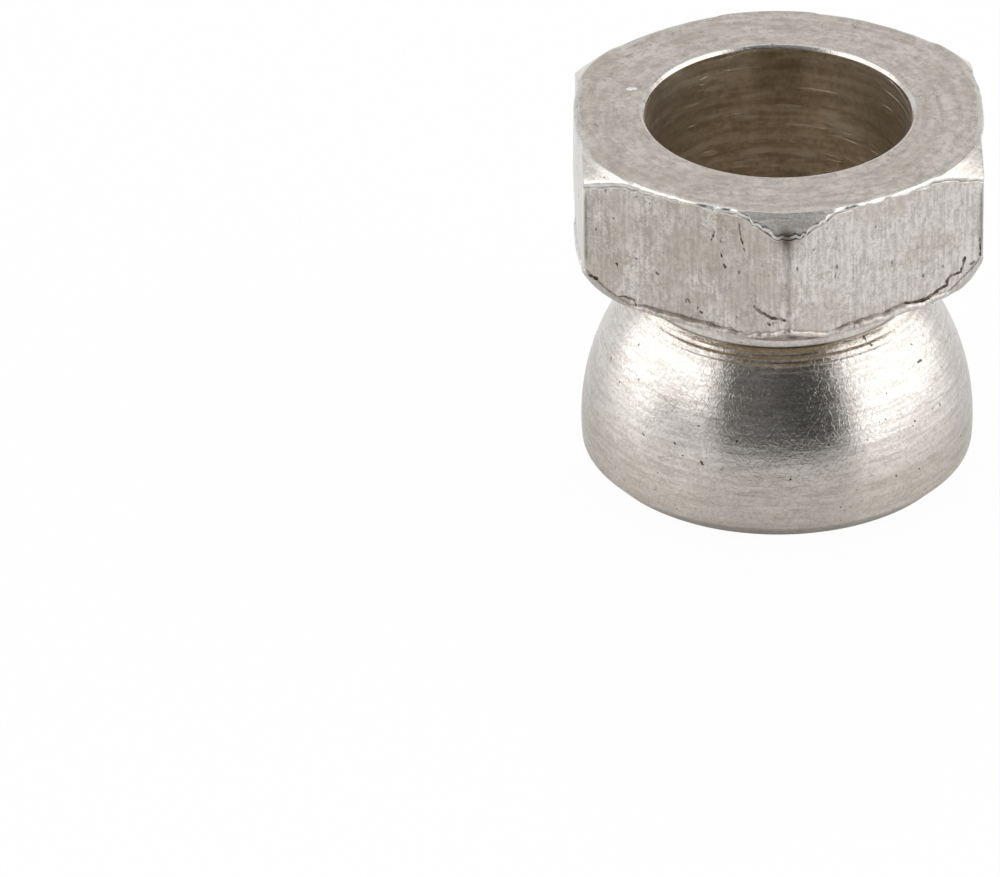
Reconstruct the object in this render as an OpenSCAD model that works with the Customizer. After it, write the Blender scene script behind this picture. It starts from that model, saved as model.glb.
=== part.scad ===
// Shear nut, turned in one piece from hexagon bar.
// It stands on the end face of its threaded base. The Z axis is the thread's axis.

/* [Hexagon head] */
// Distance between two opposite flats
across_flats = 10; // [9:0.1:12]
// Height of the head along the axis
head_height = 3.6; // [2.5:0.1:4.6]
// How much wider than the flats the top face's round outline is
top_face_excess = 0.45; // [0.1:0.05:1]
// Slope of the top corner chamfer, in degrees from the face
top_chamfer_slope = 40; // [20:1:60]
// How much wider than the flats the underside's round outline is
underside_excess = 0.5; // [0.1:0.05:1]
// Slope of the lower corner chamfer, in degrees from the face
under_chamfer_slope = 50; // [20:1:60]

/* [Domed base] */
// Largest diameter of the base
base_d = 9.92; // [9:0.02:10]
// Height of the largest diameter above the end face
widest_height = 0.95; // [0.6:0.05:1.75]
// Radius of the base's convex side, seen in section
dome_radius = 5.8; // [4.5:0.1:8.4]
// Width of the outer edge chamfer, measured along the radius
edge_chamfer = 0.42; // [0.1:0.02:0.8]

/* [Shear neck] */
// Height of the whole nut
total_height = 9.7; // [9.2:0.1:12]
// Wall left between the bore and the outside of the neck
neck_wall = 0.12; // [0.1:0.01:0.5]
// Radius of the fillets at both ends of the neck
neck_fillet = 0.1; // [0.05:0.05:0.4]

/* [Thread] */
// Outer diameter of the thread, at the bottom of its groove
thread_d = 6; // [5.7:0.1:6.2]
// Distance from one turn of the thread to the next
thread_pitch = 1; // [0.8:0.05:1.25]
// Included angle between the flanks of the thread
flank_angle = 60; // [55:1:60]

/* [Bore] */
// Diameter of the clearance bore through the head and the neck
bore_d = 6.7; // [6.2:0.1:7.2]
// Width of the broken edge at the mouth of the clearance bore
bore_edge = 0.08; // [0.02:0.01:0.2]
// Diameter of the tapping hole, which is the thread's inner diameter
tap_hole_d = 5.1; // [4.9:0.02:5.3]
// Height at which the threaded stretch ends
thread_end = 4; // [3:0.1:4.2]
// Included angle of the cone between the thread and the clearance bore
drill_point = 118; // [90:1:140]
// Diameter of the countersink at the end face
countersink_d = 7.1; // [6.2:0.1:8]
// Included angle of the countersink
countersink_angle = 120; // [90:5:120]

/* [Hidden] */
$fn = 180;
// Distance by which cutting shapes run past the faces they cut
past = 1;
// Straight steps in one turn of the thread
steps_per_turn = 30;
// Distance by which the shape that cuts the thread reaches into the open hole
groove_reach = 0.1;
// Turn of the hexagon that puts two corners on the Y axis
corner_turn = 30;
corner_r = across_flats / sqrt(3);
head_z = total_height - head_height;
base_r = base_d / 2;
bore_r = bore_d / 2;
tap_r = tap_hole_d / 2;
thread_r = thread_d / 2;
neck_r = bore_r + neck_wall;
dome_x = base_r - dome_radius;
// Radius of the flat end face, where a chamfer of 45 degrees meets it
edge_r = dome_x + sqrt(pow(dome_radius, 2) - pow(widest_height - edge_chamfer, 2));
face_r = edge_r - edge_chamfer;
// Depth by which the lower fillet's circle cuts into the dome, so that the two cross in one clean line
foot_bite = 0.0002;
// Centre of the fillet between the dome and the neck
foot_x = neck_r + neck_fillet;
foot_z = widest_height + sqrt(pow(dome_radius + neck_fillet - foot_bite, 2) - pow(foot_x - dome_x, 2));
// Height at which the line through the centres of dome and fillet meets the axis
foot_line_z = widest_height - dome_x * (foot_z - widest_height) / (foot_x - dome_x);
countersink_r = countersink_d / 2;
countersink_depth = (countersink_r - tap_r) / tan(countersink_angle / 2);
bore_z = thread_end + (bore_r - tap_r) / tan(drill_point / 2);

// Height that a corner chamfer loses between its first radius and a line just past the corners
function chamfer_drop(from_r, slope) = (corner_r + past - from_r) * tan(slope);

// Width of the thread's groove at a radius, an eighth of the pitch at its bottom
function groove_width(radius) = thread_pitch / 8 + 2 * (thread_r - radius) * tan(flank_angle / 2);

// Hexagon bar between two turned cones that take off its corners
module head() {
    top_r = (across_flats + top_face_excess) / 2;
    under_r = (across_flats + underside_excess) / 2;
    out_r = corner_r + past;
    intersection() {
        translate([0, 0, head_z])
            linear_extrude(head_height)
                rotate(corner_turn)
                    circle(r = corner_r, $fn = 6);
        rotate_extrude()
            intersection() {
                polygon([
                    [0, head_z],
                    [under_r, head_z],
                    [out_r, head_z + chamfer_drop(under_r, under_chamfer_slope)],
                    [out_r, total_height],
                    [0, total_height]
                ]);
                polygon([
                    [0, head_z],
                    [out_r, head_z],
                    [out_r, total_height - chamfer_drop(top_r, top_chamfer_slope)],
                    [top_r, total_height],
                    [0, total_height]
                ]);
            }
    }
}

// Convex side of the base, cut off flat at the end face and chamfered at its edge
module dome_section() {
    difference() {
        intersection() {
            translate([dome_x, widest_height])
                circle(r = dome_radius);
            square([base_r + past, head_z]);
        }
        polygon([
            [face_r, 0],
            [face_r - past, -past],
            [base_r + past, -past],
            [base_r + past, base_r + past - face_r]
        ]);
    }
}

// Neck with a fillet up to the head and a fillet down to the dome
module neck_section() {
    square([neck_r, head_z + neck_fillet]);
    difference() {
        translate([0, head_z - neck_fillet])
            square([neck_r + neck_fillet, neck_fillet]);
        translate([neck_r + neck_fillet, head_z - neck_fillet])
            circle(r = neck_fillet);
    }
    difference() {
        polygon([
            [0, foot_line_z],
            [foot_x, foot_z],
            [0, foot_z]
        ]);
        translate([foot_x, foot_z])
            circle(r = neck_fillet);
    }
}

module base_and_neck() {
    rotate_extrude() {
        dome_section();
        neck_section();
    }
}

// Everything that is drilled, countersunk and bored out along the axis
module bores() {
    translate([0, 0, -past])
        cylinder(r = tap_r, h = thread_end + past * 2);
    rotate_extrude()
        polygon([
            [0, -past],
            [countersink_r + past * tan(countersink_angle / 2), -past],
            [tap_r, countersink_depth],
            [0, countersink_depth]
        ]);
    rotate_extrude()
        polygon([
            [0, thread_end],
            [tap_r, thread_end],
            [bore_r, bore_z],
            [bore_r, total_height - bore_edge],
            [bore_r + bore_edge + past, total_height + past],
            [0, total_height + past]
        ]);
}

// Right-hand groove that starts a turn below the end face and ends a turn past the threaded stretch
module thread_groove() {
    inner_r = tap_r - groove_reach;
    inner_half = groove_width(inner_r) / 2;
    outer_half = groove_width(thread_r) / 2;
    section = [
        [inner_r, -inner_half],
        [thread_r, -outer_half],
        [thread_r, outer_half],
        [inner_r, inner_half]
    ];
    corners = len(section);
    steps = ceil((bore_z / thread_pitch + 2) * steps_per_turn);
    points = [
        for (i = [0 : steps])
            let (
                angle = 360 * i / steps_per_turn,
                height = thread_pitch * (i / steps_per_turn - 1)
            )
            for (p = section)
                [p.x * cos(angle), p.x * sin(angle), p.y + height]
    ];
    sides = [
        for (i = [0 : steps - 1])
            for (j = [0 : corners - 1])
                let (
                    a = i * corners + j,
                    b = i * corners + (j + 1) % corners
                )
                each [[a, b, b + corners], [a, b + corners, a + corners]]
    ];
    first_end = [for (j = [corners - 1 : -1 : 0]) j];
    last_end = [for (j = [0 : corners - 1]) steps * corners + j];
    polyhedron(points, concat(sides, [first_end, last_end]));
}

module shear_nut() {
    color([0.75, 0.73, 0.70])
        difference() {
            union() {
                head();
                base_and_neck();
            }
            bores();
            thread_groove();
        }
}

shear_nut();
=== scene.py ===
"""Shear nut: its skin of turned, drawn and bored steel, the studio around it and the camera.

Sizes are in millimetres until an object is made from them. The scene itself is in metres.
"""

import math

import bmesh
import bpy
import numpy as np
from mathutils import Matrix, Vector


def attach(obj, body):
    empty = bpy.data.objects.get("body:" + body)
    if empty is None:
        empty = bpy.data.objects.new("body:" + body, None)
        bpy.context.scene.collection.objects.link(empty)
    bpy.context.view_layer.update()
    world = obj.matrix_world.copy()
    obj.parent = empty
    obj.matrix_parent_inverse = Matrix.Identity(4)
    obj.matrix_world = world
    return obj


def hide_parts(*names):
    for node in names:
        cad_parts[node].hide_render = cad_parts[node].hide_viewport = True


MM = 0.001

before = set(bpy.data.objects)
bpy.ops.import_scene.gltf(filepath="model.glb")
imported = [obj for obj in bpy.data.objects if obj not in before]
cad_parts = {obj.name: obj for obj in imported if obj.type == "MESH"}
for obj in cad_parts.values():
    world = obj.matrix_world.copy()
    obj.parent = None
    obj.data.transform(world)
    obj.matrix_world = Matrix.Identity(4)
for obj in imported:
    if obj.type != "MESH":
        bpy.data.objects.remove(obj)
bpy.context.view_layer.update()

# The nut's sizes, as in its source
FLATS = 6
ACROSS_FLATS = 10
HEAD_HEIGHT = 3.6
BASE_D = 9.92
WIDEST_HEIGHT = 0.95
DOME_RADIUS = 5.8
EDGE_CHAMFER = 0.42
TOTAL_HEIGHT = 9.7
NECK_WALL = 0.12
NECK_FILLET = 0.1
THREAD_D = 6
THREAD_PITCH = 1
FLANK_ANGLE = 60
BORE_D = 6.7
BORE_EDGE = 0.08
TAP_HOLE_D = 5.1
THREAD_END = 4
DRILL_POINT = 118
COUNTERSINK_D = 7.1
COUNTERSINK_ANGLE = 120

# Places that follow from them
HALF_TURN = math.pi / FLATS
FLAT_R = ACROSS_FLATS / 2
HEAD_Z = TOTAL_HEIGHT - HEAD_HEIGHT
BASE_R = BASE_D / 2
BORE_R = BORE_D / 2
TAP_R = TAP_HOLE_D / 2
THREAD_R = THREAD_D / 2
COUNTERSINK_R = COUNTERSINK_D / 2
NECK_R = BORE_R + NECK_WALL
DOME_X = BASE_R - DOME_RADIUS
FOOT_X = NECK_R + NECK_FILLET
FOOT_Z = WIDEST_HEIGHT + math.sqrt((DOME_RADIUS + NECK_FILLET) ** 2 - (FOOT_X - DOME_X) ** 2)
FOOT_TURN = math.atan2(FOOT_Z - WIDEST_HEIGHT, FOOT_X - DOME_X)
BASE_EDGE_R = DOME_X + math.sqrt(DOME_RADIUS**2 - (WIDEST_HEIGHT - EDGE_CHAMFER) ** 2)
END_FACE_R = BASE_EDGE_R - EDGE_CHAMFER
CONE_SPREAD = math.tan(math.radians(DRILL_POINT / 2))
SINK_SPREAD = math.tan(math.radians(COUNTERSINK_ANGLE / 2))
BORE_Z = THREAD_END + (BORE_R - TAP_R) / CONE_SPREAD

# How fine the skin is
COLUMNS_PER_FLAT = 72
CORNER_CROWDING = 0.3
FLAT_ROWS = 5
# How many times as many columns the outer skin has as the inner one
INNER_SHARE = 2
# Radii on the top face and the end face where the inner skin begins
TOP_SPLIT_R = BORE_R + BORE_EDGE + 0.12
END_SPLIT_R = COUNTERSINK_R + 0.2
# Rows of the top face, as shares of the way out, and how far the last one stays from the edge
FACE_SHARES = (0, 0.3, 0.6, 0.85, 1)
FACE_MARGIN = 0.3
# Points closer than this are one point
MERGE_DISTANCE = 0.0005
# Even steps from 0 to 1, as columns that spread over all angles
STEPS_OF_3 = np.linspace(0, 1, 4)[:, None]
STEPS_OF_4 = np.linspace(0, 1, 5)[:, None]

# The edges of the top face and of the underside. lip_rs is the radius at the middle of each flat, where a lip
# stands out, from 0 degrees round. corner_rs, slopes and rounds are the radius, slope and roundness at each
# corner, from 30 degrees round. band is the height of a lip's outer side. The key for the corner's crease
# gives how dark the painted shade in the crease below a corner's chamfer is, when the painted shade below a
# lip is 1.
TOP_EDGE = {
    "lip_rs": (5.155, 5.215, 5.17, 5.135, 5.155, 5.155),
    "corner_rs": (5.35, 5.18, 5.29, 5.26, 5.19, 5.24),
    "slopes": (40, 40, 40, 35, 40, 40),
    "rounds": (0.1, 0.08, 0.1, 0.15, 0.07, 0.12),
    "band": 0.004,
    "corner_darkness": 0.9,
    "seed": 11,
}
LOWER_EDGE = {
    "lip_rs": (5.13,) * FLATS,
    "corner_rs": (5.28, 5.26, 5.28, 5.3, 5.345, 5.32),
    "slopes": (55, 50, 52, 57, 45, 62),
    "rounds": (0.06, 0.06, 0.06, 0.07, 0.04, 0.2),
    "band": 0.05,
    "corner_darkness": 0.1,
    "seed": 23,
}
# How uneven each flat's edges are, from 0 degrees round
FLAT_WEAR = (0.5, 0.2, 0.2, 0.5, 1, 1)

# Small edge forms that only the skin has
CORNER_ROUND = 0.14
EDGE_ROUND = 0.03
TURNED_ROUND = 0.05
LIP_BEVEL = 0.02
LIP_GAP = 0.03
LIP_RAGGED = 0.015
BEAD_HEIGHT = 0.012
CREASE_DEPTH = 0.03
CREASE_JAGS = 0.018
CREST_WEAR = 0.008
CREST_SEED = 41
# Where a rim stands out this far past the bar, its lip and crease are whole
LIP_OVERHANG = 0.08
# Most that a lip stands out past the frame's box on the left and on the right
LIP_REACH = 0.146
# Rows of an edge's chamfer, as shares of its width
CHAMFER_SHARES = (0.06, 0.6, 0.94)
# Rows below a lip, as shares of its gap: the bevel's end, the lip's foot, the crease, its side and the flat
LIP_SHARES = (0.5, 0.8, 1, 1.8, 3.4)

# Forms and darkening of one place only. A stretch round the axis is written as its first direction, its last
# direction and the width of its soft borders, in degrees.
# Ragged beads beside the front corner: stretch, jags and added height
BEADED = (-99, -81, 2)
BEAD_JAGS = 0.09
BEAD_BAND = 0.04
# Worn tip of the front corner: stretch, radius past which it is worn, share that is gone there, and the share
# of the way down the flats at which the wear ends
WORN = (-95, -85, 2)
WORN_R = 5.58
WORN_SHARE = 0.65
WORN_END = 0.25
# Swelling of the left flat: stretch, height, and the shares of the way down at which it starts and is whole
SWOLLEN = (152, 186, 12)
SWELL_HEIGHT = 0.06
SWELL_START = 0.2
SWELL_WHOLE = 0.6
# Dark spot on the front corner's top edge: direction and half width in degrees, and its share on the chamfer
DARK_TIP = (-90.6, 1.9)
DARK_TIP_SHARE = 0.15
# Dark dashes along the front corner's lower chamfer, painted as the shadow of the burr above them
DARK_DASHES = (-96.5, -83.5, 1.5)
DASH_SEED = 31
# Dark patch at the back of the bore's mouth, and the heights between which it sets in
DARK_PATCH = (80, 94, 7)
DARK_PATCH_DARKNESS = 0.4
DARK_PATCH_LOW = 7.2
DARK_PATCH_HIGH = 9

# Finishes, numbered as the skin's faces carry them
FACED, DRAWN, TURNED, BORED = range(4)


def smoothstep(share):
    """0 below 0, 1 above 1 and a smooth curve between them."""
    share = np.clip(share, 0, 1)
    return share * share * (3 - 2 * share)


def ring_noise(seed, knots, angles):
    """Random values from -1 to 1 that run smoothly round the axis, with this many knots in a turn."""
    values = np.random.default_rng(seed).uniform(-1, 1, knots)
    place = np.asarray(angles) / (2 * np.pi) * knots
    first = np.floor(place).astype(int)
    ease = smoothstep(place - first)
    return values[first % knots] * (1 - ease) + values[(first + 1) % knots] * ease


def window(angles, start, end, fade):
    """1 between two directions in degrees and 0 outside them, with a soft border of fade degrees."""
    away = np.abs((np.degrees(angles) - (start + end) / 2 + 180) % 360 - 180)
    return smoothstep(((end - start) / 2 - away) / fade + 1)


def dark_line(angles, direction, half_width):
    """1 at a direction, falling to 0 on both sides. Direction and half width are in degrees."""
    away = (np.degrees(angles) - direction + 180) % 360 - 180
    return np.exp(-((away / half_width) ** 2))


def from_each_to_next(values, first, angles):
    """Values that run evenly round the axis, given in equal steps from a first direction in degrees."""
    return np.interp(np.degrees(angles), first + 360 / FLATS * np.arange(FLATS), values, period=360)


# Hexagon bar


def column_angles():
    """Directions of the skin's columns, closer together at the hexagon's corners."""
    step = np.linspace(-1, 1, COLUMNS_PER_FLAT, endpoint=False)
    within = HALF_TURN * (step + CORNER_CROWDING * np.sin(np.pi * step) / np.pi)
    return np.concatenate([2 * HALF_TURN * flat + within for flat in range(FLATS)])


def bar_radius(angles):
    """Distance from the axis to the hexagon bar's surface, whose corners are slightly round."""
    from_flat = (angles + HALF_TURN) % (2 * HALF_TURN) - HALF_TURN
    from_corner = HALF_TURN - np.abs(from_flat)
    flat = FLAT_R / np.cos(from_flat)
    round_centre = (FLAT_R - CORNER_ROUND) / math.cos(HALF_TURN)
    touch = HALF_TURN - math.atan((FLAT_R - CORNER_ROUND) * math.tan(HALF_TURN) / FLAT_R)
    inside = np.maximum(CORNER_ROUND**2 - (round_centre * np.sin(from_corner)) ** 2, 0)
    corner = round_centre * np.cos(from_corner) + np.sqrt(inside)
    return np.where(from_corner < touch, corner, flat)


class Skin:
    """The nut's surface: rings of points round the axis, and the faces between them."""

    def __init__(self):
        self.points = []
        self.darkenings = []
        self.faces = []
        self.finishes = []

    def ring(self, angles, radius, height, darkening=0):
        """Adds a ring and returns its point numbers. Radius, height and darkening may change round the axis.
        """
        first = len(self.points)
        self.points.extend(zip(radius * np.cos(angles), radius * np.sin(angles), height + 0 * angles))
        self.darkenings.extend(darkening + 0 * angles)
        return list(range(first, first + len(angles)))

    def face(self, corners, finish):
        """Adds a face. Its corners are point numbers."""
        self.faces.append(corners)
        self.finishes.append(finish)

    def join(self, above, below, finish):
        """Adds the faces between two closed rings, of which one may have twice as many points."""
        count = min(len(above), len(below))
        for i in range(count):
            upper, lower = (
                [ring[k % len(ring)] for k in range(i * step, (i + 1) * step + 1)]
                for ring, step in ((above, len(above) // count), (below, len(below) // count))
            )
            self.face(lower + upper[::-1], finish)

    def loft(self, rings, finish):
        """Adds the faces between each ring and the next."""
        for above, below in zip(rings, rings[1:]):
            self.join(above, below, finish)

    def mesh(self, name):
        """The mesh, in metres, with coinciding points merged. Attributes keep its darkening and its finishes.
        """
        mesh = bpy.data.meshes.new(name)
        mesh.from_pydata(np.array(self.points) * MM, [], self.faces)
        finish = mesh.attributes.new("finish", "INT", "FACE")
        finish.data.foreach_set("value", self.finishes)
        darkening = mesh.attributes.new("darkening", "FLOAT", "POINT")
        darkening.data.foreach_set("value", self.darkenings)
        work = bmesh.new()
        work.from_mesh(mesh)
        bmesh.ops.remove_doubles(work, verts=work.verts, dist=MERGE_DISTANCE * MM)
        bmesh.ops.dissolve_degenerate(work, edges=work.edges, dist=MERGE_DISTANCE * MM)
        bmesh.ops.triangulate(work, faces=work.faces)
        work.to_mesh(mesh)
        work.free()
        mesh.polygons.foreach_set("use_smooth", [True] * len(mesh.polygons))
        return mesh


class Edge:
    """Where a turned face meets the flats: a chamfer at each corner, lips between them and a round bead."""

    def __init__(self, angles, face_z, way, bar, form):
        """way is -1 for an edge that runs down from its face and 1 for one that runs up."""
        self.angles = angles
        self.face_z = face_z
        self.way = way
        self.bar = bar
        self.seed = form["seed"]
        self.chamfer_darkness = 0
        self.tip_darkness = 0
        wear = from_each_to_next(FLAT_WEAR, 0, angles)
        corner = np.floor(angles / (2 * HALF_TURN)).astype(int) % FLATS
        beaded = window(angles, *BEADED)
        bead = BEAD_HEIGHT + BEAD_JAGS * beaded * np.abs(self.noise(6, 260))
        self.rim = self.rim_radius(form["lip_rs"], np.take(form["corner_rs"], corner), wear)
        self.outer = np.maximum(self.rim, bar + bead)
        self.slope = np.radians(np.take(form["slopes"], corner))
        uneven = 1 + 0.4 * wear * self.noise(2, 200)
        self.round = from_each_to_next(form["rounds"], 180 / FLATS, angles) * uneven
        presence = smoothstep((self.rim - bar) / LIP_OVERHANG)
        jags = np.abs(self.noise(3, 300)) + np.abs(self.noise(4, 120))
        self.band = form["band"] * presence + CREASE_JAGS * jags + BEAD_BAND * beaded
        # Painted shade in the crease under the lip and the chamfer, patchy round the edge
        patchy = 0.75 + 0.5 * self.noise(5, 170)
        self.darkening = patchy * (form["corner_darkness"] + (1 - form["corner_darkness"]) * presence)

    def noise(self, number, knots):
        """One of the edge's own noises, with this many knots in a turn."""
        return ring_noise(self.seed + number, knots, self.angles)

    def rim_radius(self, lip_rs, corner_r, wear):
        """Radius where the turned face ends, from lip to corner, and a little ragged at the lips."""
        flat = np.floor((self.angles + HALF_TURN) / (2 * HALF_TURN)).astype(int) % FLATS
        lip_r = np.take(lip_rs, flat)
        from_flat = np.abs((self.angles + HALF_TURN) % (2 * HALF_TURN) - HALF_TURN)
        at_corner = smoothstep(from_flat / HALF_TURN)
        ragged = self.noise(0, 260) + 0.6 * self.noise(1, 90)
        rim = lip_r + (corner_r - lip_r) * at_corner + LIP_RAGGED * wear * ragged * (1 - at_corner)
        return np.minimum(rim, (FLAT_R + LIP_REACH) / np.abs(np.cos(self.angles)))

    def chamfer_rows(self):
        """Radius, depth and darkening of the rows from the face over the chamfer to the bead."""
        slope = self.slope
        wide = self.round
        width = self.outer - self.rim
        # Chamfers narrower than this vanish in the rounding
        least = wide * (np.sin(slope) + np.cos(slope) - 1) / np.sin(slope)
        narrow = np.maximum(EDGE_ROUND, wide - np.maximum(width - least, 0))
        parted = width > least
        centre = np.where(parted, self.rim - narrow * np.tan(slope / 2), self.outer - wide)
        drop = np.where(parted, (wide - (wide - width) * np.sin(slope)) / np.cos(slope), wide)
        first = [(centre + narrow * np.sin(turn), narrow * (1 - np.cos(turn))) for turn in slope * STEPS_OF_3]
        turns = slope + (math.pi / 2 - slope) * STEPS_OF_4
        last = [(self.outer - wide * (1 - np.sin(turn)), drop - wide * np.cos(turn)) for turn in turns]
        (start_r, start_d), (end_r, end_d) = first[-1], last[0]
        darkenings = (0, self.chamfer_darkness, self.tip_darkness)
        return [
            (centre - 0.25 * narrow, 0, 0),
            *[(radius, depth, 0) for radius, depth in first],
            *[
                (start_r + (end_r - start_r) * share, start_d + (end_d - start_d) * share, darkening)
                for share, darkening in zip(CHAMFER_SHARES, darkenings)
            ],
            *[(radius, depth, self.tip_darkness) for radius, depth in last],
        ]

    def lip_rows(self, depth):
        """Radius, depth and darkening of the rows from the bead's end into the crease and out to the flat.
        The crease carries painted shade.
        """
        low = depth + self.band
        overhang = self.outer - self.bar
        tip = self.tip_darkness
        bevel, foot, crease, side, flat = (low + LIP_GAP * share for share in LIP_SHARES)
        return [
            (self.outer, low, tip),
            (self.outer - np.minimum(LIP_BEVEL, 0.5 * overhang), bevel, tip),
            (self.bar + 0.1 * overhang, foot, tip),
            (self.bar - CREASE_DEPTH, crease, np.maximum(self.darkening, tip)),
            (self.bar, side, np.maximum(0.6 * self.darkening, tip)),
            (self.bar, flat, tip),
        ]

    def rings(self, skin):
        """Adds the edge's rings, from the face to the flats."""
        rows = self.chamfer_rows()
        rows += self.lip_rows(rows[-1][1])
        self.flat_z = self.face_z + self.way * rows[-1][1]
        return [skin.ring(self.angles, r, self.face_z + self.way * depth, darkening) for r, depth, darkening in rows]


def top_edge(angles):
    """The top face's edge, with its worn and dark front corner."""
    bar = bar_radius(angles)
    worn = WORN_SHARE * window(angles, *WORN) * np.maximum(bar - WORN_R, 0)
    edge = Edge(angles, TOTAL_HEIGHT, -1, bar - worn, TOP_EDGE)
    edge.tip_darkness = dark_line(angles, *DARK_TIP)
    edge.chamfer_darkness = DARK_TIP_SHARE * edge.tip_darkness
    return edge


def lower_edge(angles):
    """The underside's edge, with a swollen flat above it and dark dashes at the front corner, painted as a
    burr's shadow.
    """
    swell = SWELL_HEIGHT * window(angles, *SWOLLEN)
    edge = Edge(angles, HEAD_Z, 1, bar_radius(angles) + swell, LOWER_EDGE)
    # Painted shadow of the burr, broken into dashes
    dashes = smoothstep(0.6 + ring_noise(DASH_SEED, 150, angles))
    edge.chamfer_darkness = window(angles, *DARK_DASHES) * dashes
    return edge


# Turned profile


def arc(centre_r, centre_z, radius, start, end, count):
    """Points of a round section, as radius and height, between two directions in degrees."""
    turns = np.radians(np.linspace(start, end, count))
    return [(centre_r + radius * math.cos(turn), centre_z + radius * math.sin(turn)) for turn in turns]


# How far from a blunt corner its outermost points are, in its widths
BLUNT_REACH = 2.5


def blunt(before, corner, after, width):
    """Rounds a corner of a section: points on both sides of it and one just inside it."""
    before, corner, after = np.array(before), np.array(corner), np.array(after)
    toward_before = (before - corner) / np.linalg.norm(before - corner)
    toward_after = (after - corner) / np.linalg.norm(after - corner)
    return [
        tuple(corner + toward_before * BLUNT_REACH * width),
        tuple(corner + toward_before * width),
        tuple(corner + (toward_before + toward_after) * 0.25 * width),
        tuple(corner + toward_after * width),
        tuple(corner + toward_after * BLUNT_REACH * width),
    ]


def ring_marks(place, rings):
    """Depth of turned rings at a place along a section. Each ring has a place, a half width and a depth."""
    return sum(depth * np.exp(-(((place - middle) / width) ** 2)) for middle, width, depth in rings)


# Turned rings, each with its place along the section, its half width and its depth
UNDERSIDE_RINGS = [(3.72, 0.05, 0.02), (3.9, 0.06, 0.025), (4.12, 0.05, 0.012)]
NECK_RINGS = [(5.75, 0.03, 0.012), (5.5, 0.04, 0.015), (5.22, 0.03, 0.015)]
DOME_RINGS = [(4.645, 0.03, 0.015), (4.5, 0.03, 0.012), (4.36, 0.03, 0.005)]
# How dark the dome's rings are painted, as shade in their grooves, for each millimetre of their depth
DOME_RING_SHADE = 8
# Radii of the underside's plain rows, and the one from which its rows are fine enough for the rings
UNDERSIDE_PLAIN = (4.8, 4.55)
UNDERSIDE_FINE = 4.48
# How dark each row of the fillet at the neck's foot is painted, from above, as shade in the crease where the
# dome meets the neck
FOOT_SHADES = (0.2, 0.8, 1, 0.3)


def underside_section():
    """Flat underside of the head, from its rim to the neck's fillet, with turned rings near the neck."""
    plain = np.linspace(*UNDERSIDE_PLAIN, 3)
    ringed = np.linspace(UNDERSIDE_FINE, FOOT_X + 0.03, 14)
    return [(radius, HEAD_Z + ring_marks(radius, UNDERSIDE_RINGS)) for radius in (*plain, *ringed)]


def neck_section():
    """Fillet under the head, the neck and the fillet down to the dome."""
    heights = np.linspace(HEAD_Z - NECK_FILLET - 0.04, FOOT_Z + 0.03, 15)
    foot = arc(FOOT_X, FOOT_Z, NECK_FILLET, 180, 180 + math.degrees(FOOT_TURN), len(FOOT_SHADES))
    return [
        *arc(FOOT_X, HEAD_Z - NECK_FILLET, NECK_FILLET, 90, 180, 5),
        *[(NECK_R - ring_marks(height, NECK_RINGS), height) for height in heights],
        *[(radius, height, darkening) for (radius, height), darkening in zip(foot, FOOT_SHADES)],
    ]


def dome_radius(height):
    """Distance from the axis to the base's convex side."""
    return DOME_X + math.sqrt(DOME_RADIUS**2 - (height - WIDEST_HEIGHT) ** 2)


def dome_section():
    """Convex side of the base, from the neck's foot to just above its lower edge."""
    top = WIDEST_HEIGHT + DOME_RADIUS * math.sin(FOOT_TURN)
    plain_top = min(place for place, _, _ in DOME_RINGS) - 0.1
    ringed = np.linspace(top - 0.02, plain_top, 26)
    plain = np.linspace(plain_top - 0.05, EDGE_CHAMFER + 0.15, 22)
    section = []
    for height in (*ringed, *plain):
        depth = ring_marks(height, DOME_RINGS)
        section.append((dome_radius(height) - depth, height, DOME_RING_SHADE * depth))
    return section


def base_edge_section():
    """Chamfer between the dome and the end face, with both its edges slightly blunt."""
    widest = (BASE_R, WIDEST_HEIGHT)
    shoulder = (BASE_EDGE_R, EDGE_CHAMFER)
    foot = (END_FACE_R, 0)
    return [*blunt(widest, shoulder, foot, TURNED_ROUND), *blunt(shoulder, foot, (0, 0), TURNED_ROUND)]


# Bore and thread


def hole_radius(height):
    """Radius of the countersink, the tapping hole and the drilled cone, without the thread."""
    sink = COUNTERSINK_R - height * SINK_SPREAD
    cone = TAP_R + (height - THREAD_END) * CONE_SPREAD
    return np.maximum(np.maximum(sink, cone), TAP_R)


def groove_section():
    """Rows across one turn of the thread, from the middle of its groove: height offset and radius."""
    half_bottom = THREAD_PITCH / 16
    half_mouth = half_bottom + (THREAD_R - TAP_R) * math.tan(math.radians(FLANK_ANGLE / 2))
    soft = EDGE_ROUND * 0.7
    slope = (THREAD_R - TAP_R) / (half_mouth - half_bottom)
    half = [
        (half_bottom - soft, THREAD_R),
        (half_bottom + soft, THREAD_R - soft * slope),
        ((half_bottom + half_mouth) / 2, (THREAD_R + TAP_R) / 2),
        (half_mouth - soft, TAP_R + soft * slope),
        (half_mouth + soft, TAP_R),
        ((half_mouth + THREAD_PITCH / 2) / 2, TAP_R),
    ]
    mirrored = [(THREAD_PITCH - offset, radius) for offset, radius in reversed(half)]
    return [(0, THREAD_R), *half, (THREAD_PITCH / 2, TAP_R), *mirrored]


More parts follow.
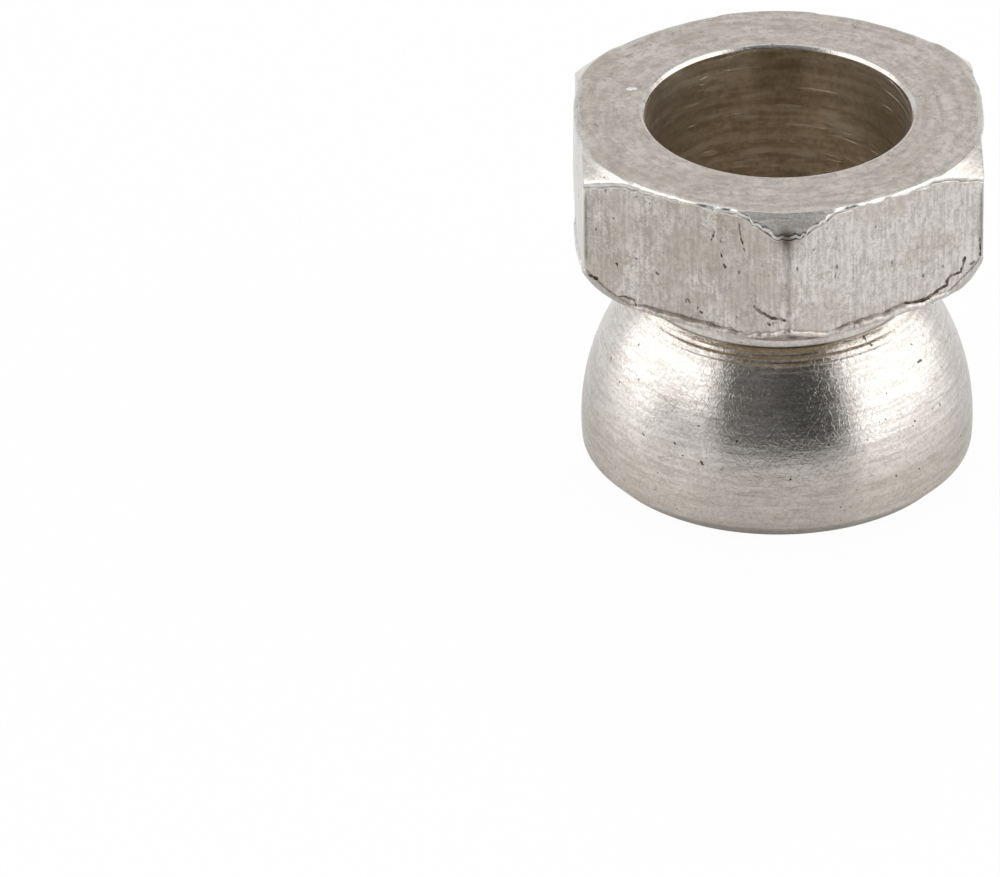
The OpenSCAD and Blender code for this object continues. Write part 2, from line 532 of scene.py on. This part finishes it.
def thread_rings(skin, angles, low, high):
    """Adds the threaded stretch, whose rows climb with the helix, and returns its lowest and highest ring."""
    turned = np.append(angles, angles[0] + 2 * np.pi)
    climb = THREAD_PITCH * turned / (2 * np.pi)
    first_turn = math.floor((low - climb[-1]) / THREAD_PITCH)
    last_turn = math.ceil((high - climb[0]) / THREAD_PITCH)
    worn = CREST_WEAR * ring_noise(CREST_SEED, 70, turned)
    rows = []
    for turn in range(first_turn, last_turn + 1):
        for offset, radius in groove_section():
            height = np.clip(turn * THREAD_PITCH + offset + climb, low, high)
            rows.append(skin.ring(turned, np.maximum(radius + worn, hole_radius(height)), height))
    for below, above in zip(rows, rows[1:]):
        for i in range(len(angles)):
            skin.face([above[i], above[i + 1], below[i + 1], below[i]], BORED)
    return rows[0][:-1], rows[-1][:-1]


# The nut's surface

# Dark lines along corners of the hexagon: direction in degrees and darkness of each, and their half width
DARK_CORNERS = [(-149.6, 0.75), (-90.1, 0.25), (-30.6, 0.75)]
DARK_CORNER_WIDTH = 0.55


def corner_darkness(angles):
    """Dark lines along some of the hexagon's corners."""
    darkening = 0 * angles
    for direction, darkness in DARK_CORNERS:
        darkening += darkness * dark_line(angles, direction, DARK_CORNER_WIDTH)
    return darkening


def section_rings(skin, angles, section):
    """Adds a ring for each place of a section."""
    return [skin.ring(angles, *place) for place in section]


def face_rings(skin, angles, top):
    """Adds the rows of the top face that lie inside its edge."""
    reach = np.minimum(top.rim, top.bar) - FACE_MARGIN - TOP_SPLIT_R
    return [skin.ring(angles, TOP_SPLIT_R + reach * share, TOTAL_HEIGHT) for share in FACE_SHARES]


def flat_rings(skin, angles, top, lower):
    """Adds the rows between the two edges, from the worn tip over the plain bar to the swelling."""
    bar = bar_radius(angles)
    rings = []
    for share in np.linspace(0, 1, FLAT_ROWS + 2)[1:-1]:
        plain = smoothstep(share / WORN_END)
        swollen = smoothstep((share - SWELL_START) / (SWELL_WHOLE - SWELL_START))
        radius = top.bar + (bar - top.bar) * plain + (lower.bar - bar) * swollen
        height = top.flat_z + (lower.flat_z - top.flat_z) * share
        rings.append(skin.ring(angles, radius, height, corner_darkness(angles)))
    return rings


def outer_skin(skin, angles):
    """Top face, head, neck, dome and end face. Returns the first and the last ring."""
    top = top_edge(angles)
    lower = lower_edge(angles)
    face = face_rings(skin, angles, top)
    top_rings = top.rings(skin)
    lower_rings = lower.rings(skin)[::-1]
    sides = flat_rings(skin, angles, top, lower)
    underside = section_rings(skin, angles, underside_section())
    neck = section_rings(skin, angles, neck_section())
    dome = section_rings(skin, angles, dome_section())
    base_edge = section_rings(skin, angles, base_edge_section())
    end_face = section_rings(skin, angles, [(END_SPLIT_R + 0.3, 0), (END_SPLIT_R, 0)])
    skin.loft(face + top_rings[:1], FACED)
    skin.loft(top_rings, TURNED)
    skin.loft(top_rings[-1:] + sides + lower_rings[:1], DRAWN)
    skin.loft(lower_rings, DRAWN)
    skin.loft(lower_rings[-1:] + underside + neck, TURNED)
    skin.loft(neck[-1:] + dome + base_edge, TURNED)
    skin.loft(base_edge[-1:] + end_face, FACED)
    return face[0], end_face[-1]


def bore_rings(skin, angles):
    """Adds the rows of the clearance bore, with the dark patch at its mouth."""
    across = DARK_PATCH_DARKNESS * window(angles, *DARK_PATCH)
    rings = []
    for height in (BORE_Z + EDGE_ROUND, *np.linspace(BORE_Z + 0.3, TOTAL_HEIGHT - 0.2, 8)):
        share = smoothstep((height - DARK_PATCH_LOW) / (DARK_PATCH_HIGH - DARK_PATCH_LOW))
        rings.append(skin.ring(angles, BORE_R, height, across * share))
    return rings


def mouth_section():
    """The bore's broken edge, blunt on both sides. Its first points are still on the bore's wall."""
    mouth = (BORE_R, TOTAL_HEIGHT - BORE_EDGE)
    rim = (BORE_R + BORE_EDGE, TOTAL_HEIGHT)
    soft = BORE_EDGE / 5
    return [*blunt((BORE_R, BORE_Z), mouth, rim, soft), *blunt(mouth, rim, (TOP_SPLIT_R, TOTAL_HEIGHT), soft)]


def inner_skin(skin, angles):
    """Countersink, thread, drilled cone, bore and the bore's edge. Returns the first and the last ring."""
    low = BLUNT_REACH * TURNED_ROUND / SINK_SPREAD
    inside = (COUNTERSINK_R - low * SINK_SPREAD, low)
    sink = section_rings(skin, angles, blunt((END_SPLIT_R, 0), (COUNTERSINK_R, 0), inside, TURNED_ROUND))
    thread_low, thread_high = thread_rings(skin, angles, low + 0.1, BORE_Z - EDGE_ROUND)
    bore = bore_rings(skin, angles)
    mouth = section_rings(skin, angles, mouth_section())
    skin.loft(sink + [thread_low], BORED)
    skin.loft([thread_high] + bore + mouth[:3], BORED)
    skin.loft(mouth[2:], TURNED)
    return sink[0], mouth[-1]


def build_skin():
    """The whole surface as one closed mesh."""
    skin = Skin()
    angles = column_angles()
    first, last = outer_skin(skin, angles)
    inner_first, inner_last = inner_skin(skin, angles[::INNER_SHARE])
    skin.join(last, inner_first, FACED)
    skin.join(inner_last, first, FACED)
    return skin.mesh("shear_nut_skin")


# Node trees


class Field:
    """A value or a vector in a node tree. Plain arithmetic on it adds the nodes that work it out."""

    def __init__(self, tree, socket):
        self.tree = tree
        self.socket = socket

    def math(self, operation, *values):
        return self.tree.node("ShaderNodeMath", {"operation": operation}, list(values))

    def __add__(self, other):
        return self.math("ADD", self, other)

    def __sub__(self, other):
        return self.math("SUBTRACT", self, other)

    def __mul__(self, other):
        return self.math("MULTIPLY", self, other)

    def __truediv__(self, other):
        return self.math("DIVIDE", self, other)

    def __rsub__(self, other):
        return self.math("SUBTRACT", other, self)

    __radd__ = __add__
    __rmul__ = __mul__

    def root(self):
        return self.math("SQRT", self)

    def clipped(self):
        """The value, kept from 0 to 1."""
        return self.tree.node("ShaderNodeClamp", {}, {"Value": self})

    def size(self):
        return self.math("ABSOLUTE", self)

    def at_least(self, other):
        return self.math("MAXIMUM", self, other)

    def above(self, low, high):
        """0 below low, 1 above high and smooth between them."""
        settings = {"interpolation_type": "SMOOTHSTEP"}
        inputs = {"Value": self, "From Min": low, "From Max": high}
        return self.tree.node("ShaderNodeMapRange", settings, inputs)

    def below(self, low, high):
        """1 below low, 0 above high and smooth between them."""
        return 1 - self.above(low, high)

    def between(self, low, high, fade):
        """1 from low to high, falling to 0 over fade on both sides."""
        return self.above(low - fade, low) * self.below(high, high + fade)

    def blend(self, low, high):
        """A value that is low where this one is 0, and high where it is 1."""
        return low + (high - low) * self


class Tree:
    """A node tree with one way to add a node to it."""

    def __init__(self, nodes):
        self.nodes = nodes
        self.nodes.nodes.clear()

    def node(self, kind, settings, inputs, output=0):
        """Adds a node with its settings first and then its inputs. Returns one output, by name or number."""
        node = self.nodes.nodes.new(kind)
        for name, value in settings.items():
            setattr(node, name, value)
        for key, value in inputs.items() if isinstance(inputs, dict) else enumerate(inputs):
            in_use = [socket for socket in node.inputs if socket.enabled]
            socket = in_use[key] if isinstance(key, int) else next(s for s in in_use if s.name == key)
            if isinstance(value, Field):
                self.nodes.links.new(value.socket, socket)
            else:
                socket.default_value = value
        given = [socket for socket in node.outputs if socket.enabled]
        if not given:
            return node
        return Field(self, given[output] if isinstance(output, int) else node.outputs[output])

    def vector(self, operation, *values):
        return self.node("ShaderNodeVectorMath", {"operation": operation}, list(values))

    def point(self, x, y, z):
        return self.node("ShaderNodeCombineXYZ", {}, [x, y, z])

    def parts(self, vector):
        """The three parts of a vector."""
        return [self.node("ShaderNodeSeparateXYZ", {}, [vector], part) for part in ("X", "Y", "Z")]


# Finishes


def tone(red, green, blue):
    """A colour given as the screen shows it, from 0 to 255, turned into linear values."""
    shares = [value / 255 for value in (red, green, blue)]
    return (*[s / 12.92 if s <= 0.04045 else ((s + 0.055) / 1.055) ** 2.4 for s in shares], 1)


# Colour of the skin's darkening, which is mostly painted shade in creases and grooves, and how much of the
# metal a full one hides
DARKENING_TONE = tone(84, 70, 52)
DARKENING_SHARE = 0.85


# How far a scar's borders waver, and the shares of its half width between which it fades
SCAR_WAVER = 0.13
SCAR_FADE = (0.7, 1.4)


class Finish(Tree):
    """A procedural material. Its patterns read the place on the object, in millimetres."""

    def __init__(self, name):
        self.material = bpy.data.materials.new(name)
        self.material.use_nodes = True
        super().__init__(self.material.node_tree)
        coordinates = self.node("ShaderNodeTexCoord", {}, {}, "Object")
        self.place = self.vector("MULTIPLY", coordinates, (1 / MM, 1 / MM, 1 / MM))
        self.x, self.y, self.z = self.parts(self.place)
        self.radius = (self.x * self.x + self.y * self.y).root()

    def noise(self, place, scale, detail=2, roughness=0.5):
        """Noise from 0 to 1, with scale knots in a millimetre of place."""
        inputs = {"Vector": place, "Scale": scale, "Detail": detail, "Roughness": roughness}
        return self.node("ShaderNodeTexNoise", {}, inputs)

    def stretched(self, factors, scale, detail=2):
        """Noise whose grain is drawn out along the axes with small factors."""
        return self.noise(self.vector("MULTIPLY", self.place, factors), scale, detail)

    def circling(self, along, arcs, scale, detail=2):
        """Noise in rings round the axis: along is the way across the rings, and few arcs make long ones."""
        place = self.point(self.x / self.radius * arcs, self.y / self.radius * arcs, along)
        return self.noise(place, scale, detail)

    def hairlines(self, place, scale, width, detail=1):
        """Fine winding lines: 1 along them and 0 beside them."""
        return (self.noise(place, scale, detail) - 0.5).size().below(0, width)

    def arcs(self, scale, width):
        """Short fine arcs round the axis: 1 along them and 0 beside them."""
        place = self.point(self.x / self.radius, self.y / self.radius, self.z - self.radius)
        return self.hairlines(place, scale, width) * self.noise(self.place, 0.9, 2).above(0.5, 0.6)

    def scars(self, scars):
        """1 along the scars and 0 beside them. Each scar is its half width and its points."""
        waver = (self.noise(self.place, 9, 2) - 0.5) * SCAR_WAVER
        mask = waver * 0
        for half_width, points in scars:
            for start, end in zip(points, points[1:]):
                run = Vector(end) - Vector(start)
                from_start = self.vector("SUBTRACT", self.place, start)
                share = (self.vector("DOT_PRODUCT", from_start, run) / run.length_squared).clipped()
                away = self.vector("DISTANCE", from_start, self.vector("SCALE", run, share)) + waver
                mask = mask.at_least(away.below(*[half_width * share for share in SCAR_FADE]))
        return mask * self.noise(self.place, 5, 1).above(0.25, 0.6).blend(0.45, 0.95)

    def mix(self, share, low, high):
        """A colour between two colours."""
        return self.node("ShaderNodeMix", {"data_type": "RGBA"}, {"Factor": share, "A": low, "B": high})

    def steel(self, colour, roughness, height):
        """Ends the material as bare metal, darkened by the skin's darkening, which is mostly painted shade in
        creases and grooves. height is its relief, in mm.
        """
        darkening = self.node("ShaderNodeAttribute", {"attribute_name": "darkening"}, {}, "Fac")
        normal = self.node("ShaderNodeBump", {}, {"Height": height, "Strength": 1, "Distance": MM})
        stained = self.mix(darkening * DARKENING_SHARE, colour, DARKENING_TONE)
        inputs = {"Base Color": stained, "Metallic": 1, "Roughness": roughness, "Normal": normal}
        shader = self.node("ShaderNodeBsdfPrincipled", {}, inputs)
        self.node("ShaderNodeOutputMaterial", {}, {"Surface": shader})
        return self.material


# Raised flecks on the top face, painted white as a highlight, as scars: half width, then points
FACE_GLINT_FLECKS = [
    (0.07, [(-3.68, 1.27, TOTAL_HEIGHT), (-3.56, 1.28, TOTAL_HEIGHT)]),
]


def faced_steel():
    """Faces cut square to the axis: fine marks in all directions, with faint arcs and warm blotches."""
    finish = Finish("faced_steel")
    fine = finish.noise(finish.place, 16, 5, 0.7)
    mottle = finish.noise(finish.place, 4.5, 3, 0.6)
    rings = finish.circling(finish.radius, 0.8, 6, 2)
    blotch = finish.noise(finish.place, 1.1, 3)
    arcs = finish.arcs(3.2, 0.012)
    spots = finish.noise(finish.place, 6, 2).above(0.62, 0.72)
    glint_flecks = finish.scars(FACE_GLINT_FLECKS)
    grain = (fine * 0.35 + mottle * 0.35 + rings * 0.3).above(0.39, 0.61)
    metal = finish.mix(grain, tone(183, 175, 167), tone(219, 212, 205))
    warm = finish.mix(blotch.above(0.44, 0.64) * 0.35, metal, tone(190, 178, 163))
    colour = finish.mix((arcs * 0.5).at_least(spots * 0.3), warm, tone(120, 110, 98))
    # Painted highlight: the raised flecks are made white
    colour = finish.mix(glint_flecks, colour, tone(255, 255, 255))
    relief = fine * 0.004 + mottle * 0.006 + rings * 0.005 - arcs * 0.003 + glint_flecks * 0.05
    return finish.steel(colour, 0.32 + fine * 0.2, relief)


# Scars of the flats and of the dome: half width, then points as direction in degrees and height
FLAT_SCARS = [
    # Crack beside the front corner
    (0.04, [(-99.1, 7.09), (-97.5, 6.97), (-94.3, 6.88), (-91.2, 6.91)]),
    # Cracks along the lower right edge
    (0.025, [(-32.2, 6.92), (-33.3, 6.9)]),
    (0.035, [(-35.0, 7.13), (-36.1, 6.76), (-38.4, 6.76), (-39.9, 6.7), (-40.2, 6.52), (-42.7, 6.45)]),
    (0.035, [(-42.7, 6.45), (-46.5, 6.31), (-48.5, 6.3), (-53.5, 6.33)]),
    # Edges of flakes at the lower left
    (0.018, [(-141.2, 6.33), (-139.5, 6.4), (-136.2, 6.37), (-135.8, 6.26)]),
    (0.03, [(-148.6, 6.74), (-146.6, 6.7)]),
    # Scratches
    (0.016, [(-103.6, 9.34), (-103.0, 8.98), (-101.8, 8.58)]),
    (0.02, [(-110.9, 8.93), (-111.4, 8.8), (-111.9, 8.68)]),
    (0.015, [(-109.3, 8.43), (-108.6, 8.25)]),
    (0.018, [(-31.0, 7.6), (-30.7, 7.07)]),
    # Pits
    (0.035, [(-95.1, 6.7), (-94.9, 6.68)]),
    (0.03, [(-108.0, 8.06), (-107.6, 8.0)]),
    (0.028, [(-129.3, 7.32), (-128.9, 7.3)]),
    (0.022, [(-141.2, 7.28), (-141.2, 7.16)]),
    (0.022, [(-142.4, 8.57), (-142.2, 8.56)]),
    (0.022, [(-135.8, 7.58), (-135.4, 7.58)]),
    (0.025, [(-115.1, 6.53), (-114.8, 6.5)]),
]
DOME_SCARS = [
    (0.02, [(-55.2, 4.78), (-54.7, 4.65), (-52.95, 4.56)]),
]


def scar_points(scars, radius_at):
    """The scars with their points in space. radius_at is the surface's radius at a direction and a height."""
    placed = []
    for half_width, points in scars:
        turned = [(math.radians(direction), height) for direction, height in points]
        reach = [(radius_at(turn, height), turn, height) for turn, height in turned]
        placed.append((half_width, [(r * math.cos(turn), r * math.sin(turn), z) for r, turn, z in reach]))
    return placed


# Places along X between which the flats turn from warm to pale, painted shade on the left flat and painted
# light on the right one, and beyond which the left flat is palest, a painted sheen at a grazing angle
SHADED_TO_LIT = (-2, 2)
FAR_LEFT_SHEEN = (-4.98, -4.94)


def drawn_steel():
    """Flats of the bar as drawn: soft lines along it, blotches, small pits and a few scars, with painted
    shade on the left flat and painted light on the right and far left flats.
    """
    finish = Finish("drawn_steel")
    lines = finish.stretched((1, 1, 0.07), 13, 4)
    fine = finish.noise(finish.place, 15, 4, 0.75)
    blobs = finish.stretched((1, 1, 0.6), 8, 3)
    # Painted shade on the left flat and painted light on the right one, split along X
    shaded_left = finish.x.below(*SHADED_TO_LIT)
    # Warm blotches at random, with more on the left flat as painted shade
    warm = (finish.noise(finish.place, 0.9, 3) + shaded_left * 0.16).above(0.48, 0.74)
    pits = finish.stretched((1, 1, 0.5), 7, 1).above(0.73, 0.78)
    pale = finish.stretched((1, 1, 0.13), 2.6, 2).above(0.58, 0.7)
    marks = finish.hairlines(finish.place, 3.4, 0.03, 3) * finish.noise(finish.place, 1.5, 1).above(0.42, 0.6)
    scars = finish.scars(scar_points(FLAT_SCARS, lambda turn, height: float(bar_radius(turn))))
    grain = (lines * 0.3 + fine * 0.4 + blobs * 0.3).above(0.41, 0.59)
    metal = finish.mix(grain, tone(184, 177, 170), tone(228, 223, 218))
    metal = finish.mix(warm * 0.5, metal, tone(178, 167, 152))
    metal = finish.mix(pale * 0.15, metal, tone(228, 224, 220))
    # Painted light: the right flat is made paler
    metal = finish.mix((1 - shaded_left) * 0.15, metal, tone(246, 243, 240))
    # Painted sheen: the far left flat, seen at a grazing angle, is made nearly white
    metal = finish.mix(finish.x.below(*FAR_LEFT_SHEEN) * 0.5, metal, tone(250, 249, 247))
    metal = finish.mix(marks * 0.35, metal, tone(140, 128, 114))
    colour = finish.mix((pits * 0.6).at_least(scars), metal, tone(78, 64, 50))
    relief = lines * 0.003 + fine * 0.008 + blobs * 0.007 - marks * 0.004 - pits * 0.01 - scars * 0.03
    return finish.steel(colour, 0.34 + fine * 0.18, relief)


# Brown tints: heights and radii of the one under the head, which is partly stain and partly painted shade, as
# the underside mirrors the dark front; heights of the one at the neck's foot, which is partly dirt in the
# ring band and partly a painted reflection of that underside; and the width of their borders
SHADE_HEIGHTS = (6.05, 6.3)
SHADE_RADII = (3.6, 5)
FOOT_HEIGHTS = (4.55, 4.9)
CAST_BORDER = 0.1
# Heights over which the dome's browner lower part fades out, a painted reflection of the floor beside it, and
# over which the base gives way to the head
LOW_DOME_END = (1.2, 2.6)
BASE_END = (5.9, 6)


def turned_steel():
    """Turned outer surfaces, smoother, with rings from the tool, brown tints under the head and at the neck's
    foot that are partly stain and partly painted shade, and a painted reflection of the floor on the lower
    dome.
    """
    finish = Finish("turned_steel")
    along = finish.z - finish.radius
    rings = finish.circling(along, 0.25, 8, 3)
    short = finish.circling(along, 1.4, 6, 3)
    fine = finish.noise(finish.place, 13, 4, 0.7)
    strokes = finish.hairlines(finish.place, 5, 0.05, 3)
    waves = finish.noise(finish.place, 3, 2)
    arcs = finish.arcs(2.6, 0.012)
    specks = finish.noise(finish.place, 6, 1).above(0.742, 0.797)
    scars = finish.scars(scar_points(DOME_SCARS, lambda turn, height: dome_radius(height)))
    underside_shade_and_stain = finish.z.between(*SHADE_HEIGHTS, CAST_BORDER) * finish.radius.between(*SHADE_RADII, CAST_BORDER)
    foot = finish.z.between(*FOOT_HEIGHTS, CAST_BORDER)
    base = finish.z.below(*BASE_END)
    grain = (fine * 0.4 + rings * 0.3 + short * 0.3).above(0.36, 0.64)
    metal = finish.mix(grain, tone(192, 186, 179), tone(230, 226, 221))
    # Brown at the neck's foot: partly dirt in the ring band, partly a painted reflection of the head's brown
    # underside
    metal = finish.mix(foot * 0.1, metal, tone(190, 172, 146))
    # Painted reflection: the dome's lower part is browner where it mirrors the floor
    metal = finish.mix(finish.z.below(*LOW_DOME_END) * 0.3, metal, tone(196, 181, 162))
    # Under the head: partly stain, partly painted shade where the underside mirrors the dark front
    metal = finish.mix(underside_shade_and_stain, metal, tone(162, 143, 118))
    metal = finish.mix(strokes * base * 0.26, metal, tone(150, 141, 130))
    metal = finish.mix(arcs * 0.4, metal, tone(120, 108, 94))
    colour = finish.mix(specks.at_least(scars), metal, tone(90, 80, 66))
    turning = rings * 0.003 + short * 0.003 + waves * 0.005 + fine * 0.0026 + strokes * 0.0018
    relief = turning * base.blend(0.4, 1) - specks * 0.008 - scars * 0.02
    return finish.steel(colour, 0.12 + fine * 0.16, relief)


# Distances to the left and right of the bore's middle between which its walls turn grey
GREY_WALLS = (1.2, 2.8)


def bored_steel():
    """Bore and thread, with the drill's rings, scratches along them that are partly painted glints, and a
    brown cast.
    """
    finish = Finish("bored_steel")
    rings = finish.circling(finish.z, 0.4, 5, 4)
    fine = finish.noise(finish.place, 7, 3, 0.6)
    streaks = finish.circling(finish.z, 0.9, 3.4, 2).above(0.56, 0.66)
    scratches = (finish.circling(finish.z, 0.25, 3, 1) - 0.5).size().below(0, 0.02)
    scratches = scratches * finish.noise(finish.place, 0.9, 2).above(0.5, 0.62)
    metal = finish.mix((fine * 0.4 + rings * 0.6).above(0.34, 0.66), tone(178, 161, 139), tone(226, 212, 193))
    metal = finish.mix(finish.x.size().above(*GREY_WALLS) * 0.5, metal, tone(208, 203, 191))
    # Painted glints: the streaks and scratches are made paler, beside the scratches' real relief
    colour = finish.mix((streaks * 0.5).at_least(scratches * 0.6), metal, tone(245, 238, 228))
    return finish.steel(colour, 0.36 + rings * 0.1, rings * 0.014 + fine * 0.004 + scratches * 0.006)


# Relief and finishes on the skin

# Soft unevenness of the whole skin, in metres
RELIEF = {"Swell Height": 0.008 * MM, "Swells per Metre": 700}


def build_relief_tree(finishes):
    """Nodes that let the skin swell a little and give each face the material of its finish."""
    group = bpy.data.node_groups.new("surface_relief", "GeometryNodeTree")
    group.interface.new_socket("Geometry", in_out="INPUT", socket_type="NodeSocketGeometry")
    for name in RELIEF:
        group.interface.new_socket(name, in_out="INPUT", socket_type="NodeSocketFloat")
    group.interface.new_socket("Geometry", in_out="OUTPUT", socket_type="NodeSocketGeometry")
    tree = Tree(group)
    sizes = {name: tree.node("NodeGroupInput", {}, {}, name) for name in ("Geometry", *RELIEF)}
    noise = tree.node("ShaderNodeTexNoise", {}, {"Scale": sizes["Swells per Metre"], "Detail": 1})
    push = (noise - 0.5) * sizes["Swell Height"]
    normal = tree.node("GeometryNodeInputNormal", {}, {})
    offset = tree.vector("MULTIPLY", normal, tree.point(push, push, push))
    shape = tree.node("GeometryNodeSetPosition", {}, {"Geometry": sizes["Geometry"], "Offset": offset})
    shape = tree.node("GeometryNodeRealizeInstances", {}, {"Geometry": shape})
    number = tree.node("GeometryNodeInputNamedAttribute", {"data_type": "INT"}, {"Name": "finish"})
    for index, material in enumerate(finishes):
        same = tree.node("FunctionNodeCompare", {"data_type": "INT", "operation": "EQUAL"}, [number, index])
        inputs = {"Geometry": shape, "Selection": same, "Material": material}
        shape = tree.node("GeometryNodeSetMaterial", {}, inputs)
    tree.node("NodeGroupOutput", {}, {"Geometry": shape})
    return group


def finished_nut(mesh, finishes):
    """The skin as a plain mesh piece, after its relief."""
    rough = bpy.data.objects.new("rough_nut", mesh)
    bpy.context.scene.collection.objects.link(rough)
    relief = rough.modifiers.new("relief", "NODES")
    relief.node_group = build_relief_tree(finishes)
    for item in relief.node_group.interface.items_tree:
        if item.name in RELIEF:
            relief[item.identifier] = RELIEF[item.name]
    done = bpy.data.meshes.new_from_object(rough.evaluated_get(bpy.context.evaluated_depsgraph_get()))
    bpy.data.objects.remove(rough)
    nut = bpy.data.objects.new("turned_nut", done)
    bpy.context.scene.collection.objects.link(nut)
    return nut


nut = finished_nut(build_skin(), [faced_steel(), drawn_steel(), turned_steel(), bored_steel()])
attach(nut, "root")
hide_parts("shear_nut")

# Studio

# Light by direction, seen from the nut. A turn is in degrees from the camera's side, and a height in degrees
# above the horizon.
CAMERA_HEADING = -92.9
BACK_LIGHT = 1
ZENITH_LIGHT = 1.15
HIGH_FRONT_LIGHT = 0.52
# Height at which the light from above starts, and shares toward the camera between which its front takes over
HIGH_START = 61
HIGH_FRONT = (0.1, 0.33)
# Each side's light and the dark front beside it. light is the side's brightness, low is that near the horizon
# and dark is the front's. The light starts about the turn start, later by lag for each degree of height, and
# sets in over fade degrees on both sides of there. It ends about the turn end.
LEFT_SIDE = {"light": 2.3, "low": 0.72, "dark": 0.2, "start": 33, "lag": 0.4, "fade": 9, "end": 121}
RIGHT_SIDE = {"light": 2.3, "low": 2.3, "dark": 0.09, "start": 47, "lag": 0.05, "fade": 11, "end": 126}
# Sideways share of a direction over which one side's light gives way to the other's
SIDE_BLEND = 0.3
# Up to this turn the light near the horizon is the low one, and from this height on it is the full one
LOW_END = 80
LOW_HEIGHT = 30
LIGHT_FADE = 5

# The floor's width in metres and its finish
FLOOR_SIZE = 4
FLOOR_COLOUR = (0.85, 0.85, 0.85, 1)
FLOOR_ROUGHNESS = 0.25
FLOOR_IOR = 1.8
# How much of a plain white glow the floor has: as the camera sees it, as the nut mirrors it, and as the nut
# mirrors its far part
CAMERA_LIFT = 0.97
MIRROR_LIFT = 0.14
BEHIND_LIFT = 0.5
# Places along Y between which that far part begins, behind the nut
BEHIND = (5, 11)


def build_room():
    """Light from all round: bright sides, a white back and top, and a dark front where the camera stands."""
    world = bpy.data.worlds.new("room")
    world.use_nodes = True
    bpy.context.scene.world = world
    room = Tree(world.node_tree)
    x, y, z = room.parts(room.node("ShaderNodeTexCoord", {}, {}, "Generated"))
    heading = math.radians(CAMERA_HEADING)
    ahead = x * math.cos(heading) + y * math.sin(heading)
    aside = y * math.cos(heading) - x * math.sin(heading)
    turn = ahead.math("ARCTAN2", aside, ahead).size() * math.degrees(1)
    climb = z.math("ARCSINE", z) * math.degrees(1)
    right = aside.above(-SIDE_BLEND, SIDE_BLEND)
    side = {name: right.blend(LEFT_SIDE[name], RIGHT_SIDE[name]) for name in LEFT_SIDE}
    low = climb.above(0, LOW_HEIGHT).blend(side["low"], side["light"])
    bright = (turn - LOW_END).above(-LIGHT_FADE, LIGHT_FADE).blend(low, side["light"])
    begun = (turn - side["start"] - climb * side["lag"]) / side["fade"]
    light = begun.above(-1, 1).blend(side["dark"], bright)
    light = (turn - side["end"]).above(-2 * LIGHT_FADE, 2 * LIGHT_FADE).blend(light, BACK_LIGHT)
    high = ahead.above(*HIGH_FRONT).blend(ZENITH_LIGHT, HIGH_FRONT_LIGHT)
    light = (climb - HIGH_START).above(-LIGHT_FADE, LIGHT_FADE).blend(light, high)
    strength = room.node("ShaderNodeLightPath", {}, {}, "Is Camera Ray").blend(light, 1)
    background = room.node("ShaderNodeBackground", {}, {"Strength": strength})
    room.node("ShaderNodeOutputWorld", {}, {"Surface": background})


def build_floor():
    """A wide pale floor that the camera sees as white and that keeps the nut's shadow."""
    half = FLOOR_SIZE / 2
    mesh = bpy.data.meshes.new("floor")
    corners = [(-half, -half, 0), (half, -half, 0), (half, half, 0), (-half, half, 0)]
    mesh.from_pydata(corners, [], [(0, 1, 2, 3)])
    floor = bpy.data.objects.new("floor", mesh)
    bpy.context.scene.collection.objects.link(floor)
    finish = Finish("pale_floor")
    seen = finish.node("ShaderNodeLightPath", {}, {}, "Is Camera Ray")
    mirrored = finish.node("ShaderNodeLightPath", {}, {}, "Is Glossy Ray")
    satin = {"Base Color": FLOOR_COLOUR, "Roughness": FLOOR_ROUGHNESS, "IOR": FLOOR_IOR}
    matt = finish.node("ShaderNodeBsdfPrincipled", {}, satin)
    glow = finish.node("ShaderNodeEmission", {}, {"Color": (1, 1, 1, 1), "Strength": 1})
    behind = finish.y.above(*BEHIND).blend(MIRROR_LIFT, BEHIND_LIFT)
    both = finish.node("ShaderNodeMixShader", {}, [seen * CAMERA_LIFT + mirrored * behind, matt, glow])
    finish.node("ShaderNodeOutputMaterial", {}, {"Surface": both})
    mesh.materials.append(finish.material)


# The photograph's view, from in front and above: sensor, lens, turns in degrees, distance and point aimed at
SENSOR_WIDTH = 36
LENS = 569.3
VIEW_TURN = -1.7248
VIEW_DROP = 30.3088
VIEW_ROLL = -0.3177
VIEW_DISTANCE = 398.96
VIEW_AIM = (-7.0828, -1.8073, 1.3949)
CLIP_START = 0.01


def build_camera():
    """The camera: turned three ways and set back from the point it aims at."""
    data = bpy.data.cameras.new("camera")
    data.sensor_width = SENSOR_WIDTH
    data.lens = LENS
    data.clip_start = CLIP_START
    camera = bpy.data.objects.new("camera", data)
    bpy.context.scene.collection.objects.link(camera)
    turn = Matrix.Rotation(math.radians(VIEW_TURN), 4, "Z")
    tilt = Matrix.Rotation(math.radians(90 - VIEW_DROP), 4, "X")
    roll = Matrix.Rotation(math.radians(VIEW_ROLL), 4, "Z")
    rotation = turn @ tilt @ roll
    place = Vector(VIEW_AIM) * MM + rotation @ Vector((0, 0, VIEW_DISTANCE * MM))
    camera.matrix_world = Matrix.Translation(place) @ rotation
    bpy.context.scene.camera = camera


build_room()
build_floor()
build_camera()
bpy.context.scene.view_settings.view_transform = "Standard"
